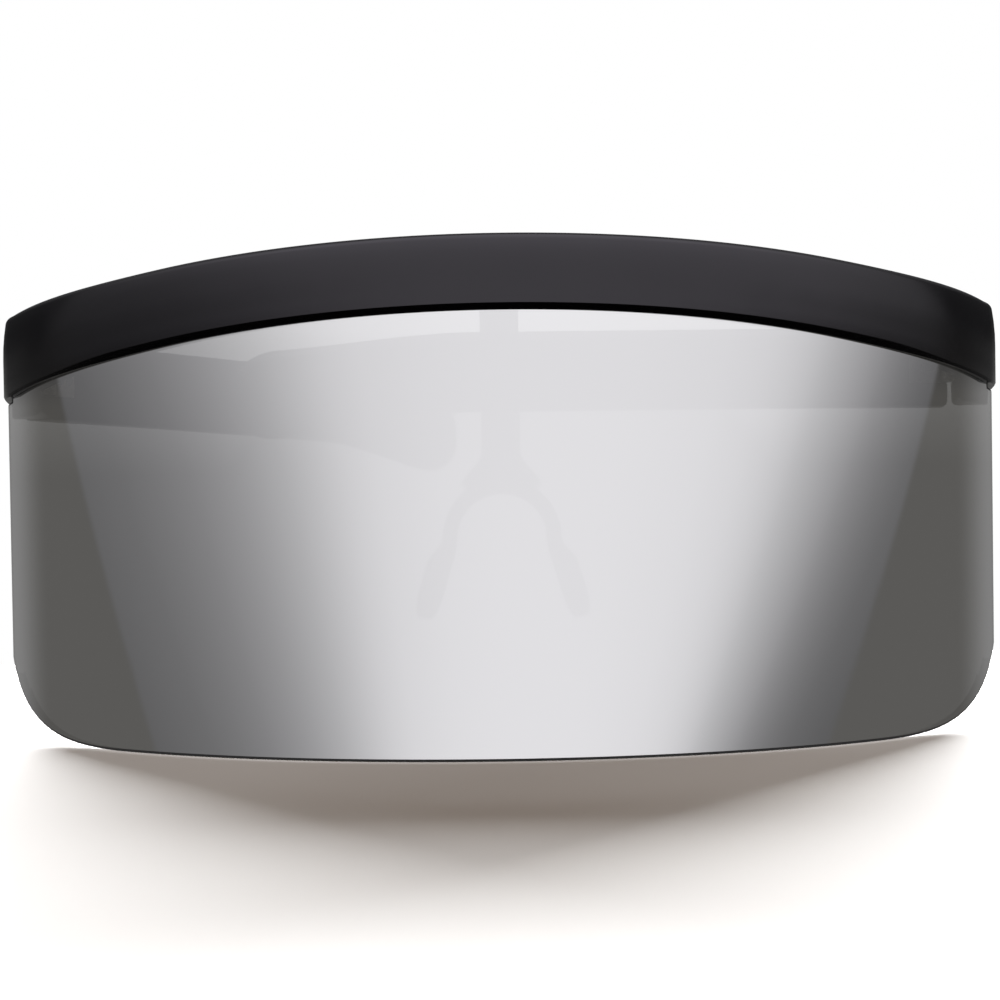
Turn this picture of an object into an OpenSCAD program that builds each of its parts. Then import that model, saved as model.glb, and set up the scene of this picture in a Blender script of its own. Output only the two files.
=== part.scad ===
// Shield sunglasses: one wrapped mirror lens held in the groove of a thick
// arched brow bar, a nose bridge behind it, and two folding temples.
// Millimetres. +X is the wearer's left, +Y points back to the face, +Z is up.
// The origin is the middle of the lens's flat bottom edge, so the glasses
// stand on z = 0. The wearer's left temple is drawn folded, and the right one
// part open, because the right one folds last and lies behind the left.

/* [Lens] */
// Radius of the lens's front face, seen from above
lens_r = 97.3; // [95:0.1:102]
// Thickness of the lens
lens_t = 2; // [1.6:0.1:2.4]
// Half of the angle that the lens wraps round the face
lens_wrap_deg = 61.3; // [60.9:0.1:61.7]
// Height over which the lower corners are rounded
corner_h = 22; // [12:0.5:30]
// Length from front to back over which the lower corners are rounded
corner_run = 28.8; // [16:0.5:36]

/* [Brow bar] */
// Height of the bar's lower edge above the lens's bottom edge, in the middle
bar_low_z = 72.1; // [68:0.1:80]
// Height of the bar in the middle
bar_h = 12.2; // [10.5:0.1:16]
// How far the bar's lower edge falls towards the temples, in degrees
bar_low_slope_deg = 16.3; // [14:0.1:18]
// How far the bar's top edge falls towards the temples, in degrees
bar_top_slope_deg = 14.4; // [12:0.1:15.5]
// Half of the angle that the bar wraps round the face
bar_wrap_deg = 60.7; // [60.4:0.1:60.8]
// Thickness of the bar's wall in front of the lens
front_wall = 1.2; // [0.9:0.1:1.6]
// Thickness of the bar's wall behind the lens
rear_wall = 2; // [1.6:0.1:2.6]
// Depth of the groove that takes the lens's top edge
groove_depth = 6.2; // [4:0.1:7.5]
// Space left round the lens in its groove
groove_gap = 0.1; // [0.05:0.05:0.15]
// Thickness of the bar's web that closes each end of the groove
end_web = 1.6; // [1.2:0.1:2]

/* [Nose bridge] */
// Width of the stem that hangs from the bar
stem_w = 6.2; // [5:0.1:8]
// Thickness of the stem
stem_t = 1.8; // [1.4:0.1:2.2]
// Height of the top of the saddle's arch
saddle_top_z = 45; // [40:0.5:50]
// Outer radius of the saddle's arch
arch_r = 9.6; // [9:0.1:11]
// Thickness of the arch and of the pads
pad_t = 2.4; // [1.8:0.1:3]
// Depth of the arch and of the pads from front to back
pad_depth = 9; // [7:0.5:12]
// Length of a pad below the arch
pad_l = 8.8; // [7:0.1:12]
// Lean of each pad away from upright, seen from the front
pad_lean_deg = 17; // [10:0.5:22]
// Turn of each pad's rear edge away from the nose, seen from above
pad_splay_deg = 15; // [5:0.5:20]
// Radius of the two screws that hold the stem
stem_screw_r = 0.6; // [0.5:0.05:0.8]

/* [Hinges] */
// Width of a lug, from the bar's outer face in to the hinge's axis
lug_w = 7.5; // [7:0.1:8]
// Length of a lug, from the bar's end back to the hinge's axis
lug_reach = 3.7; // [3.4:0.1:6]
// Height of the hinge's middle above the bar's lower edge at its end
hinge_rise = 5.4; // [4.6:0.1:7]
// Backward lean of the hinge's axis, which lets the open temple slope down
hinge_lean_deg = 5; // [3:0.5:7]
// Outer radius of a knuckle
knuckle_r = 1.5; // [1.3:0.05:1.6]
// Height of a knuckle
knuckle_h = 1.8; // [1.4:0.05:2]
// Space between two knuckles
knuckle_gap = 0.12; // [0.08:0.01:0.2]
// Radius of the hinge screw's shank
pin_r = 0.7; // [0.6:0.05:0.8]
// Radial running clearance of the shank in the temple's knuckle
pin_clearance = 0.05; // [0.02:0.01:0.08]
// Thickness of a leaf's plate
leaf_t = 0.9; // [0.7:0.05:1.1]
// Length of a leaf's plate from the hinge's axis
leaf_l = 6.9; // [6.4:0.1:7.2]
// Radius of the small screws that hold a leaf
leaf_screw_r = 0.5; // [0.4:0.05:0.6]
// Length of a leaf screw in the plastic
leaf_screw_l = 2.2; // [1.6:0.1:2.4]

/* [Temples] */
// Length of a temple from the hinge's axis to its tip
temple_l = 125.8; // [110:0.1:127]
// Height of a temple along its straight stretch
temple_h = 13.9; // [12:0.1:15]
// Thickness of a temple where it meets the bar
temple_butt_t = 6.4; // [5:0.1:7]
// Thickness of a temple along its straight stretch
temple_t = 4.2; // [3.4:0.1:4.8]
// Thickness of a temple at its tip
temple_tip_t = 3.4; // [3:0.1:4]
// Length of the straight stretch, up to the bend behind the ear
temple_straight = 82; // [70:0.5:90]
// How far the tip drops below the straight stretch
ear_drop = 4; // [2:0.1:8]
// How much taller the tip is than the straight stretch
tip_swell = 1.6; // [0:0.1:3]
// Angle of the wearer's left temple at rest, away from fully open
left_fold_deg = 92.5; // [92:0.5:93]
// Angle of the wearer's right temple at rest, away from fully open
right_fold_deg = 34; // [20:1:35]

/* [Hidden] */
$fn = 96;

// Overrun of every cut past the face that it leaves through
cut = 1;

// Radii and depths of the wrapped faces. The rounds share one upright axis,
// which stands behind the middle of the lens's thickness.
wrap_y = lens_r - lens_t / 2;
lens_in_r = lens_r - lens_t;
groove_out_r = lens_r + groove_gap;
groove_in_r = lens_in_r - groove_gap;
bar_out_r = groove_out_r + front_wall;
bar_in_r = groove_in_r - rear_wall;
bar_front_y = wrap_y - bar_out_r;
bar_end_x = bar_out_r * sin(bar_wrap_deg);
bar_end_y = wrap_y - bar_in_r * cos(bar_wrap_deg);
lens_end_y = wrap_y - lens_in_r * cos(lens_wrap_deg);

// The web at a groove's end as an angle, and the lens's tab that stops short
web_deg = end_web / bar_out_r * 180 / PI;
groove_wrap_deg = bar_wrap_deg - web_deg;
tab_wrap_deg = groove_wrap_deg - groove_gap / groove_in_r * 180 / PI;

// The groove's roof lies at a slope between the bar's two edges
groove_slope_deg = (bar_low_slope_deg + bar_top_slope_deg) / 2;
groove_top_z = bar_low_z + groove_depth;

// The lens's lower corner: points along the curve, and how square it is
corner_steps = 28;
corner_power_share = 2.3;

// Middle of the wearer's left hinge, worked out from the bar's end
hinge_x = bar_end_x - lug_w;
hinge_y = bar_end_y + lug_reach;
hinge_z = edge_z(bar_low_z, bar_low_slope_deg, bar_end_y) + hinge_rise;

// Hinge: the leaf's inner face stands outside the axis by the inset, and the
// gap between bar and open temple is shared by both
hinge_inset = 0.4;
butt_gap = 0.4;
knuckle_room = 0.2;
knuckle_pitch = knuckle_h + knuckle_gap;
hinge_h = 3 * knuckle_h + 2 * knuckle_gap;
thread_gap = 0.02;
pocket_gap = 0.1;

// Screws: head radius, head height and slot width, as shares of the shank's
// radius
head_r_share = 1.8;
head_h_share = 0.8;
slot_share = 0.4;
pin_head_r = knuckle_r - pin_r * slot_share;
pin_head_h = pin_r * head_h_share;
slot_w = pin_r * slot_share;

// Leaf screws: two in a row along the plate, with their heads sunk in it
leaf_screw_head_r = leaf_screw_r * head_r_share;
leaf_screw_head_h = leaf_t / 2;
leaf_screw_shares = [0.48, 0.8];

// Temple in side view: points along the bend, the rounding of the butt's
// corners and of the tip, and how far the tip's end falls with the drop
ear_steps = 14;
butt_round = 2;
butt_steps = 4;
tip_steps = 12;
tip_run_share = 0.62;
tip_fall_share = 0.15;

// Temple from above: corners of its outer face, as shares of its length, and
// the share of the butt's extra thickness that is left at each
plan_run_shares = [0, 0.06, 0.2, 0.32];
plan_extra_shares = [1, 0.85, 0.2, 0];

// Nose bridge: the gap behind the bar, the arch's centre and the screws, with
// heights as shares of the bar's height and the length as one of its wall
seat_gap = 0.15;
stem_top_share = 0.8;
stem_screw_shares = [0.25, 0.58];
stem_screw_l_share = 0.8;
stem_front_y = wrap_y - sqrt(pow(bar_in_r, 2) - pow(stem_w / 2, 2)) + seat_gap;
stem_top_z = bar_low_z + bar_h * stem_top_share;
arch_z = saddle_top_z - arch_r;
stem_screw_head_r = stem_screw_r * head_r_share;
stem_screw_head_h = stem_screw_r * head_h_share;
stem_screw_l = rear_wall * stem_screw_l_share;

frame_black = [0.07, 0.07, 0.08];
mirror_grey = [0.62, 0.62, 0.64, 0.75];
smoke_grey = [0.25, 0.25, 0.27, 0.8];
metal_grey = [0.55, 0.56, 0.58];

// Upright band of radius r_in to r_out, wrapped by half_deg either side
module wrapped_band(r_out, r_in, half_deg, z_low, z_high) {
    far = r_out / cos(half_deg / 2) + cut;
    translate([0, wrap_y, z_low])
        linear_extrude(z_high - z_low)
            intersection() {
                difference() {
                    circle(r_out, $fn = 180);
                    circle(r_in, $fn = 180);
                }
                polygon([
                    [0, 0],
                    [-far * sin(half_deg), -far * cos(half_deg)],
                    [-far * sin(half_deg / 2), -far * cos(half_deg / 2)],
                    [0, -far],
                    [far * sin(half_deg / 2), -far * cos(half_deg / 2)],
                    [far * sin(half_deg), -far * cos(half_deg)]
                ]);
            }
}

// Side-view outline of [y, z] points, drawn right across the glasses
module across(points) {
    half = bar_out_r + cut;
    rotate([90, 0, 90])
        translate([0, 0, -half])
            linear_extrude(2 * half)
                polygon(points);
}

// Height at depth y of an edge that starts at z in the middle of the bar
function edge_z(z, slope_deg, y) = z - (y - bar_front_y) * tan(slope_deg);

// Everything between two sloping edges, from front to back of the bar
module between_edges(z_low, low_deg, z_high, high_deg) {
    front = bar_front_y - cut;
    back = hinge_y + cut;
    across([
        [front, edge_z(z_low, low_deg, front)],
        [back, edge_z(z_low, low_deg, back)],
        [back, edge_z(z_high, high_deg, back)],
        [front, edge_z(z_high, high_deg, front)]
    ]);
}

module bar_edges() {
    between_edges(bar_low_z, bar_low_slope_deg, bar_low_z + bar_h, bar_top_slope_deg);
}

// A hinge's own frame: origin on the hinge's axis at its middle, Z along the
// axis, Y back along the open temple. side is 1 for the wearer's left.
module at_hinge(side) {
    mirror([side > 0 ? 0 : 1, 0, 0])
        translate([hinge_x, hinge_y, hinge_z])
            rotate([-hinge_lean_deg, 0, 0])
                children();
}

module folded(side) {
    at_hinge(side)
        rotate([0, 0, side > 0 ? left_fold_deg : right_fold_deg])
            children();
}

// Block given by its lowest and highest corners
module block(low, high) {
    translate(low)
        cube(high - low);
}

// Room for the knuckles and the screw's head, cut into bar and temple
module knuckle_relief() {
    translate([0, 0, -hinge_h / 2 - knuckle_room])
        cylinder(h = hinge_h + pin_head_h + 2 * knuckle_room, r = knuckle_r + knuckle_room);
}

// Pocket for a leaf's plate. way is -1 towards the bar and 1 to the temple.
module leaf_pocket(way) {
    far = leaf_l + pocket_gap;
    half = hinge_h / 2 + pocket_gap;
    block(
        [hinge_inset - cut, way > 0 ? 0 : -far, -half],
        [hinge_inset + leaf_t, way > 0 ? far : 0, half]
    );
}

// Everything on the axes of a leaf's two screws
module at_leaf_screws(way) {
    for (share = leaf_screw_shares)
        translate([hinge_inset, way * leaf_l * share, 0])
            rotate([0, 90, 0])
                children();
}

module leaf_screw_holes(way) {
    at_leaf_screws(way)
        cylinder(h = leaf_t + leaf_screw_l + thread_gap, r = leaf_screw_r + thread_gap);
}

// One end of the bar behind the lens, which carries a front leaf. Below the
// bar's lower edge it keeps inside the lens, and above it reaches the bar's
// outer face.
module lug(side) {
    half = temple_h / 2;
    out = bar_end_x - hinge_x;
    lug_root = leaf_l + lug_w;
    intersection() {
        at_hinge(side)
            block([hinge_inset, -lug_root, -half], [out, -butt_gap / 2, half]);
        union() {
            translate([0, wrap_y, 0])
                cylinder(h = bar_low_z + bar_h, r = groove_in_r, $fn = 180);
            intersection() {
                translate([0, wrap_y, 0])
                    cylinder(h = bar_low_z + bar_h, r = bar_out_r, $fn = 180);
                bar_edges();
                block(
                    [-bar_end_x, wrap_y - groove_in_r * cos(bar_wrap_deg), 0],
                    [bar_end_x, hinge_y, bar_low_z + bar_h]
                );
            }
        }
    }
}

module brow_bar() {
    color(frame_black)
        difference() {
            union() {
                intersection() {
                    wrapped_band(bar_out_r, bar_in_r, bar_wrap_deg, 0, bar_low_z + bar_h + cut);
                    bar_edges();
                }
                lug(1);
                lug(-1);
            }
            intersection() {
                wrapped_band(groove_out_r, groove_in_r, groove_wrap_deg, 0, bar_low_z + bar_h);
                between_edges(0, bar_low_slope_deg, groove_top_z, groove_slope_deg);
            }
            at_stem_screws()
                translate([0, 0, -cut])
                    cylinder(h = cut + stem_screw_l + thread_gap, r = stem_screw_r + thread_gap);
            for (side = [-1, 1])
                at_hinge(side) {
                    leaf_pocket(-1);
                    knuckle_relief();
                    leaf_screw_holes(-1);
                }
        }
}

// Lower corner of the lens in side view, from its bottom edge to its end
function corner_point(step) =
    let (turn = 90 * step / corner_steps, e = 2 / corner_power_share)
    [
        lens_end_y - corner_run * (1 - pow(sin(turn), e)),
        corner_h * (1 - pow(cos(turn), e))
    ];

module lens_outline(z_top, top_deg) {
    front = -lens_t;
    back = lens_end_y + cut;
    across(concat(
        [[front, 0]],
        [for (step = [0 : corner_steps]) corner_point(step)],
        [
            [back, corner_h],
            [back, edge_z(z_top, top_deg, back)],
            [front, edge_z(z_top, top_deg, front)]
        ]
    ));
}

module shield_lens() {
    color(mirror_grey)
        union() {
            intersection() {
                wrapped_band(lens_r, lens_in_r, lens_wrap_deg, 0, bar_low_z);
                lens_outline(bar_low_z - groove_gap, bar_low_slope_deg);
            }
            intersection() {
                wrapped_band(lens_r, lens_in_r, tab_wrap_deg, 0, bar_low_z + bar_h);
                lens_outline(groove_top_z - groove_gap, groove_slope_deg);
            }
        }
}

// Axes of the two screws through the stem, pointing forward into the bar
module at_stem_screws() {
    for (share = stem_screw_shares)
        translate([0, stem_front_y, bar_low_z + bar_h * share])
            rotate([90, 0, 0])
                children();
}

// One pad, which hangs from the arch's end, leans out and opens to the rear
module nose_pad() {
    translate([arch_r - pad_t / 2, 0, 0])
        rotate([0, -pad_lean_deg, -pad_splay_deg])
            translate([-pad_t / 2, 0, -pad_l]) {
                cube([pad_t, pad_depth, pad_l]);
                translate([0, pad_depth / 2, 0])
                    rotate([0, 90, 0])
                        cylinder(h = pad_t, r = pad_depth / 2);
            }
}

module nose_bridge() {
    color(smoke_grey)
        difference() {
            union() {
                block(
                    [-stem_w / 2, stem_front_y, saddle_top_z - pad_t],
                    [stem_w / 2, stem_front_y + stem_t, stem_top_z]
                );
                translate([0, stem_front_y, arch_z]) {
                    intersection() {
                        rotate([-90, 0, 0])
                            difference() {
                                cylinder(h = pad_depth, r = arch_r);
                                translate([0, 0, -cut])
                                    cylinder(h = pad_depth + 2 * cut, r = arch_r - pad_t);
                            }
                        block([-arch_r, 0, 0], [arch_r, pad_depth, arch_r]);
                    }
                    nose_pad();
                    mirror([1, 0, 0])
                        nose_pad();
                }
            }
            translate([0, stem_t + cut, 0])
                at_stem_screws()
                    cylinder(h = stem_t + 2 * cut, r = stem_screw_r + thread_gap);
        }
}

module nose_screws() {
    color(metal_grey)
        at_stem_screws()
            translate([0, 0, -stem_t]) {
                difference() {
                    translate([0, 0, -stem_screw_head_h])
                        cylinder(h = stem_screw_head_h, r = stem_screw_head_r);
                    translate([-stem_screw_head_r - cut, -slot_w / 2, -stem_screw_head_h - cut])
                        cube([2 * (stem_screw_head_r + cut), slot_w, stem_screw_head_h / 2 + cut]);
                }
                cylinder(h = stem_t + stem_screw_l, r = stem_screw_r);
            }
}

// Plate of a leaf, cleared round the other leaf's knuckles
module leaf_plate(way, clear_low, clear_high) {
    half = hinge_h / 2;
    difference() {
        block(
            [hinge_inset, way > 0 ? 0 : -leaf_l, -half],
            [hinge_inset + leaf_t, way > 0 ? leaf_l : 0, half]
        );
        for (i = [0 : len(clear_low) - 1])
            translate([0, 0, clear_low[i]])
                cylinder(h = clear_high[i] - clear_low[i], r = knuckle_r + knuckle_room);
        at_leaf_screws(way) {
            translate([0, 0, -cut])
                cylinder(h = leaf_t + 2 * cut, r = leaf_screw_r + thread_gap);
            translate([0, 0, -cut])
                cylinder(h = leaf_screw_head_h + cut, r = leaf_screw_head_r + thread_gap);
        }
    }
}

// Knuckle whose middle is at height z, bored for the screw
module knuckle(z, bore_r) {
    translate([0, 0, z - knuckle_h / 2])
        difference() {
            cylinder(h = knuckle_h, r = knuckle_r);
            translate([0, 0, -cut])
                cylinder(h = knuckle_h + 2 * cut, r = bore_r);
        }
}

// Leaf on the bar, with the top and bottom knuckles
module front_leaf() {
    mid = knuckle_h / 2 + knuckle_gap;
    color(metal_grey)
        difference() {
            union() {
                leaf_plate(-1, [-mid], [mid]);
                for (way = [-1, 1])
                    knuckle(way * knuckle_pitch, pin_r + thread_gap);
            }
            for (way = [-1, 1])
                translate([0, 0, way * knuckle_pitch - knuckle_h])
                    cylinder(h = 2 * knuckle_h, r = pin_r + thread_gap);
        }
}

// Leaf on the temple, with the middle knuckle
module temple_leaf() {
    low = hinge_h / 2;
    mid = knuckle_h / 2;
    color(metal_grey)
        difference() {
            union() {
                leaf_plate(1, [-low - cut, mid], [-mid, low + cut]);
                knuckle(0, pin_r + pin_clearance);
            }
            translate([0, 0, -low])
                cylinder(h = 2 * low, r = pin_r + pin_clearance);
        }
}

// Screw that the temple turns on, slotted at the top
module hinge_screw() {
    color(metal_grey)
        difference() {
            union() {
                translate([0, 0, -hinge_h / 2])
                    cylinder(h = hinge_h, r = pin_r);
                translate([0, 0, hinge_h / 2])
                    cylinder(h = pin_head_h, r = pin_head_r);
            }
            translate([-pin_head_r - cut, -slot_w / 2, hinge_h / 2 + pin_head_h / 2])
                cube([2 * (pin_head_r + cut), slot_w, pin_head_h]);
        }
}

// The two screws that hold one leaf
module leaf_screws(way) {
    color(metal_grey)
        at_leaf_screws(way)
            difference() {
                union() {
                    cylinder(h = leaf_t + leaf_screw_l, r = leaf_screw_r);
                    cylinder(h = leaf_screw_head_h, r = leaf_screw_head_r);
                }
                translate([-leaf_screw_head_r, -slot_w / 2, -cut])
                    cube([2 * leaf_screw_head_r, slot_w, leaf_screw_head_h / 2 + cut]);
            }
}

// Temple outline in side view, as [y, z] points in the hinge's frame
function ease(share) = share * share * (3 - 2 * share);
function ear_share(y) = max(0, (y - temple_straight) / (temple_l - temple_straight));
function temple_mid(y) = -ear_drop * ease(ear_share(y));
function temple_half(y) = (temple_h + tip_swell * ease(ear_share(y))) / 2;
tip_run = temple_h * tip_run_share;
tip_start = temple_l - tip_run;
function ear_y(step) = temple_straight + (tip_start - temple_straight) * step / ear_steps;

// Point on the temple's lower edge, where way is -1, or its upper one
function edge_point(way, step) =
    let (y = ear_y(step))
    [y, temple_mid(y) + way * temple_half(y)];

// Point on a rounded corner of the butt, from its edge to its end face
function butt_point(way, step) =
    let (turn = 90 * step / butt_steps)
    [
        butt_gap / 2 + butt_round * (1 - sin(turn)),
        way * (temple_h / 2 - butt_round * (1 - cos(turn)))
    ];

// Point on the tip's round, from the lower edge to the upper one
function tip_point(step) =
    let (turn = 90 * step / tip_steps)
    [
        tip_start + tip_run * sin(turn),
        temple_mid(tip_start) - ear_drop * tip_fall_share * sin(turn)
            - temple_half(tip_start) * cos(turn)
    ];

module temple_outline() {
    polygon(concat(
        [for (step = [butt_steps : -1 : 0]) butt_point(-1, step)],
        [for (step = [0 : ear_steps]) edge_point(-1, step)],
        [for (step = [1 : 2 * tip_steps - 1]) tip_point(step)],
        [for (step = [ear_steps : -1 : 0]) edge_point(1, step)],
        [for (step = [0 : butt_steps]) butt_point(1, step)]
    ));
}

// Temple seen from above: thick at the butt, then thinner towards the tip
module temple_plan() {
    far = temple_l + cut;
    extra = temple_butt_t - temple_t;
    polygon(concat(
        [[hinge_inset, far], [hinge_inset, 0]],
        [for (i = [0 : len(plan_run_shares) - 1]) [
            hinge_inset + temple_t + extra * plan_extra_shares[i],
            temple_l * plan_run_shares[i]
        ]],
        [[hinge_inset + temple_tip_t, far]]
    ));
}

module temple() {
    color(frame_black)
        difference() {
            intersection() {
                rotate([90, 0, 90])
                    linear_extrude(hinge_inset + temple_butt_t + cut)
                        temple_outline();
                translate([0, 0, -temple_l / 2])
                    linear_extrude(temple_l)
                        temple_plan();
            }
            leaf_pocket(1);
            knuckle_relief();
            leaf_screw_holes(1);
        }
}

brow_bar();
shield_lens();
nose_bridge();
nose_screws();
at_hinge(1) front_leaf();  // left_front_leaf
at_hinge(1) leaf_screws(-1);  // left_front_leaf_screws
at_hinge(1) hinge_screw();  // left_hinge_screw
folded(1) temple_leaf();  // left_temple_leaf
folded(1) leaf_screws(1);  // left_temple_leaf_screws
folded(1) temple();  // left_temple
at_hinge(-1) front_leaf();  // right_front_leaf
at_hinge(-1) leaf_screws(-1);  // right_front_leaf_screws
at_hinge(-1) hinge_screw();  // right_hinge_screw
folded(-1) temple_leaf();  // right_temple_leaf
folded(-1) leaf_screws(1);  // right_temple_leaf_screws
folded(-1) temple();  // right_temple
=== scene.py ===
import math

import bpy
from mathutils import Matrix, Vector


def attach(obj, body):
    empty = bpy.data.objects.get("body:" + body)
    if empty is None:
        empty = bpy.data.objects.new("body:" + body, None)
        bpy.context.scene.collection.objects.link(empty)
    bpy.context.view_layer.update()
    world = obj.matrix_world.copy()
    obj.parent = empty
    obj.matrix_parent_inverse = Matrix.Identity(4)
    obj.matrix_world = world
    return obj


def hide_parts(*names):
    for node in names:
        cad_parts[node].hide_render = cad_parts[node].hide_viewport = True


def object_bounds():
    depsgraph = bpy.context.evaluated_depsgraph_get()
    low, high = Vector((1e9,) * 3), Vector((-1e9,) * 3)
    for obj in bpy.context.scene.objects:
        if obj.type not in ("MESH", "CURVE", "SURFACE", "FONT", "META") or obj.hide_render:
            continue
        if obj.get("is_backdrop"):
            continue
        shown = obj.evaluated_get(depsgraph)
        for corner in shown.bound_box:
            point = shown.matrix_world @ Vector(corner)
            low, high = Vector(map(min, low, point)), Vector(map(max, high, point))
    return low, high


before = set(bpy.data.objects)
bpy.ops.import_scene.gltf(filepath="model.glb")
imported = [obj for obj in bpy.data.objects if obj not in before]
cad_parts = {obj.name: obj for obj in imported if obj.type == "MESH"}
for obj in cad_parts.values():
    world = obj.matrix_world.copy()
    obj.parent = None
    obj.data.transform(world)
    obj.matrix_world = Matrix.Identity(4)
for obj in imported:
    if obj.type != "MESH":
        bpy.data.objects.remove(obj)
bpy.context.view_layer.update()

mm = 0.001


# Camera: a long lens straight in front of the glasses, a little above their
# middle and tipped down, so that the whole front fills the picture's width. Its
# small roll gives the bar the tilt that it has in the picture.
view_target = Vector((-0.25 * mm, -2.3 * mm, 41.9 * mm))
view_distance = 560 * mm
view_down = math.radians(2.2)
view_roll = math.radians(-0.86)
view_focal_length = 127.0
bpy.ops.object.camera_add()
camera = bpy.context.object
camera.name = "camera"
camera.location = view_target + view_distance * Vector((0, -math.cos(view_down), math.sin(view_down)))
view_turn = Matrix.Rotation(math.pi / 2 - view_down, 3, "X") @ Matrix.Rotation(view_roll, 3, "Z")
camera.rotation_euler = view_turn.to_euler()
camera.data.lens = view_focal_length
camera.data.clip_start = 10 * mm
bpy.context.scene.camera = camera
bpy.context.scene.view_settings.view_transform = "Standard"


# Brow bar: one thick arched moulding of black nylon, injected in a steel
# mould with a fine spark-eroded face. A lug at each end carries a hinge leaf,
# and a groove along the lower edge holds the lens.
wrap_y = 96.3 * mm
bar_out_r = 98.6 * mm
bar_in_r = 93.2 * mm
bar_end_x = bar_out_r * math.sin(math.radians(60.7))
bar_front_y = wrap_y - bar_out_r
bar_low_z, bar_top_z = 72.1 * mm, 84.3 * mm
bar_low_slope = math.tan(math.radians(16.3))
bar_top_slope = math.tan(math.radians(14.4))
bar_corner = 0.9 * mm
bar_crown = 0.7 * mm
lip_h, lip_in = 1.15 * mm, 0.6 * mm
lip_low_corner, lip_face_corner = 0.12 * mm, 0.25 * mm
lip_fade, lip_y = 0.6, (20 * mm, 36 * mm)
bar_end_bend = 10 * mm
bar_end_fall = 0.55
bar_lift, lift_y = 1 * mm, (15 * mm, 44 * mm)
bar_past_hinge = 3 * mm
groove_out_r, groove_in_r = 97.4 * mm, 95.2 * mm
groove_half = math.radians(59.77)
groove_top_z = 78.3 * mm
groove_slope = math.tan(math.radians(15.35))
hinge = Vector((78.486, 54.3896, 62.0048)) * mm
hinge_lean = math.radians(5)
hinge_inset = 0.4 * mm
butt_gap = 0.4 * mm
temple_h = 13.9 * mm
leaf_t, leaf_l = 0.9 * mm, 6.9 * mm
knuckle_r, hinge_h = 1.5 * mm, 5.64 * mm
pocket_gap, knuckle_room = 0.1 * mm, 0.2 * mm
screw_head_room = 1 * mm
lug_l = 13 * mm
lug_corner = 0.9 * mm
lug_in, lug_out = 0.15 * mm, 0.6 * mm


def select_only(piece):
    bpy.ops.object.select_all(action="DESELECT")
    piece.select_set(True)
    bpy.context.view_layer.objects.active = piece


def close_mesh(piece):
    """Merges the seams, fills the open ends and points the faces outwards."""
    select_only(piece)
    bpy.ops.object.mode_set(mode="EDIT")
    bpy.ops.mesh.select_all(action="SELECT")
    bpy.ops.mesh.remove_doubles(threshold=1e-6)
    bpy.ops.mesh.select_all(action="SELECT")
    bpy.ops.mesh.fill_holes(sides=0)
    bpy.ops.mesh.select_all(action="SELECT")
    bpy.ops.mesh.normals_make_consistent(inside=False)
    bpy.ops.object.mode_set(mode="OBJECT")


def moulded_tube(name, rings):
    """A closed solid through rings of points: a grid that is wrapped round by giving it places."""
    bpy.ops.object.select_all(action="DESELECT")
    bpy.ops.mesh.primitive_grid_add(x_subdivisions=len(rings[0]) - 1, y_subdivisions=len(rings) - 1)
    piece = bpy.context.object
    piece.name = piece.data.name = name
    for vertex, place in zip(piece.data.vertices, [place for ring in rings for place in ring]):
        vertex.co = place
    close_mesh(piece)
    return piece


def section(corners, steps=5, flats=6):
    """Points round an outline with rounded corners (a, b, radius), ending on the first one."""
    ring = []
    for i, (a, b, radius) in enumerate(corners):
        here = Vector((a, b))
        before = (Vector(corners[i - 1][:2]) - here).normalized()
        after = (Vector(corners[(i + 1) % len(corners)][:2]) - here).normalized()
        half = before.angle(after) / 2
        centre = here + (before + after).normalized() * radius / math.sin(half)
        start = (here + before * radius / math.tan(half) - centre).normalized()
        end = (here + after * radius / math.tan(half) - centre).normalized()
        arc = [centre + start.slerp(end, step / steps) * radius for step in range(steps + 1)]
        if ring:
            ring += [ring[-1].lerp(arc[0], part / flats) for part in range(1, flats)]
        ring += arc
    ring += [ring[-1].lerp(ring[0], part / flats) for part in range(1, flats)]
    return ring + ring[:1]


def rounded_box(half_a, half_b, radius, **counts):
    """Points round a rectangle with rounded corners."""
    signs = ((1, 1), (-1, 1), (-1, -1), (1, -1))
    return section([(a * half_a, b * half_b, radius) for a, b in signs], **counts)


def use_modifier(piece, kind, **settings):
    modifier = piece.modifiers.new(kind.lower(), kind)
    for name, value in settings.items():
        setattr(modifier, name, value)
    select_only(piece)
    bpy.ops.object.modifier_apply(modifier=modifier.name)


def carve(piece, tool, operation="DIFFERENCE"):
    """Cuts a tool out of a piece, or joins it on, and uses the tool up."""
    use_modifier(piece, "BOOLEAN", object=tool, operation=operation, solver="EXACT")
    bpy.data.objects.remove(tool)


def box_between(name, low, high, rounding=0):
    bpy.ops.object.select_all(action="DESELECT")
    low, high = Vector(low), Vector(high)
    bpy.ops.mesh.primitive_cube_add(size=1, location=(low + high) / 2, scale=high - low)
    piece = bpy.context.object
    piece.name = piece.data.name = name
    bpy.ops.object.transform_apply()
    if rounding:
        use_modifier(piece, "BEVEL", width=rounding, segments=4)
    return piece


def rod(name, radius, low, high, centre=(0, 0), sides=64):
    bpy.ops.object.select_all(action="DESELECT")
    bpy.ops.mesh.primitive_cylinder_add(
        vertices=sides, radius=radius, depth=high - low, location=(*centre, (low + high) / 2))
    piece = bpy.context.object
    piece.name = piece.data.name = name
    bpy.ops.object.transform_apply()
    return piece


def at_hinge(side, fold=0):
    """The frame of a hinge: origin on its axis, Z along it, Y back along the open temple."""
    flip = Matrix.Scale(side, 4, (1, 0, 0))
    lean = Matrix.Rotation(-hinge_lean, 4, "X")
    return flip @ Matrix.Translation(hinge) @ lean @ Matrix.Rotation(math.radians(fold), 4, "Z")


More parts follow.
